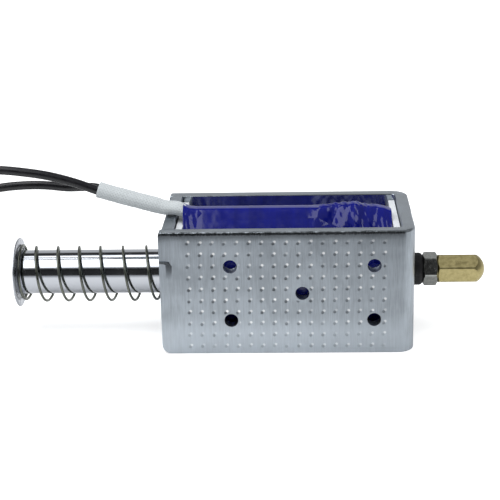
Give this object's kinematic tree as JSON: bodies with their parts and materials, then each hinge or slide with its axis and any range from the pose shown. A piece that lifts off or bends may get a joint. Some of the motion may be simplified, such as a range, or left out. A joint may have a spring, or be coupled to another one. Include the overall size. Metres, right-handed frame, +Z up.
{
  "type": "push pull solenoid",
  "caption": "Open-frame push-pull solenoid: sprung plunger on one side, push rod with a domed nut on the other, tapped holes in one leg, flying leads in a woven sleeve.",
  "frame": {"origin": "middle of the solenoid's length and depth, on the level of the frame's lower edges", "axes": "+X along the plunger from its outer end to the domed nut, -Y out of the drilled face, +Z up from the frame's lower edges"},
  "size_m": [0.2015, 0.0554, 0.058],
  "materials": {
    "zinc_plated_steel": "zinc plated, lightly mottled",
    "tube_brass": "drawn",
    "bobbin_nylon": "moulded, natural white",
    "enamelled_copper": "enamelled copper wire, wound",
    "blue_tape": "polyester tape, glossy and creased",
    "core_iron": "turned soft iron, plated",
    "bush_bronze": "sintered bronze",
    "plunger_nickel": "turned and nickel plated",
    "rod_stainless": "ground",
    "spring_wire": "dark oiled spring steel",
    "bumper_rubber": "moulded, matt",
    "nut_steel": "turned steel",
    "cap_brass": "turned, dull plated brass",
    "splice_plastic": "shrink sleeve",
    "lead_insulation": "soft extruded insulation, satin",
    "woven_sleeve": "woven glass fibre, varnished",
    "tinned_copper": "tinned and twisted",
    "tie_plastic": "moulded"
  },
  "bodies": {
    "frame": {"yoke_frame": "zinc_plated_steel", "end_plate": "zinc_plated_steel", "guide_tube": "tube_brass", "bobbin": "bobbin_nylon", "coil_winding": "enamelled_copper", "coil_tape": "blue_tape", "fixed_core": "core_iron", "rod_bush": "bush_bronze", "stop_washer": "tube_brass", "return_spring": "spring_wire", "lead_splices": "splice_plastic", "lead_tails": "lead_insulation", "lead_sleeve": "woven_sleeve", "front_lead": "lead_insulation", "rear_lead": "lead_insulation", "front_lead_coil": "lead_insulation", "rear_lead_coil": "lead_insulation", "lead_tips": "tinned_copper", "lead_tie": "tie_plastic"},
    "plunger_assembly": {"plunger": "plunger_nickel", "spring_disc": "plunger_nickel", "push_rod": "rod_stainless", "rubber_bumper": "bumper_rubber", "lock_nut": "nut_steel", "cap_nut": "cap_brass"}
  },
  "joints": [
    {"name": "plunger_stroke", "type": "slide", "parent": "frame", "child": "plunger_assembly", "axis": [1, 0, 0], "range_m": [0, 0.035], "stiffness_N_per_m": 167, "springref_m": -0.0107, "deforming": ["return_spring"]}
  ]
}
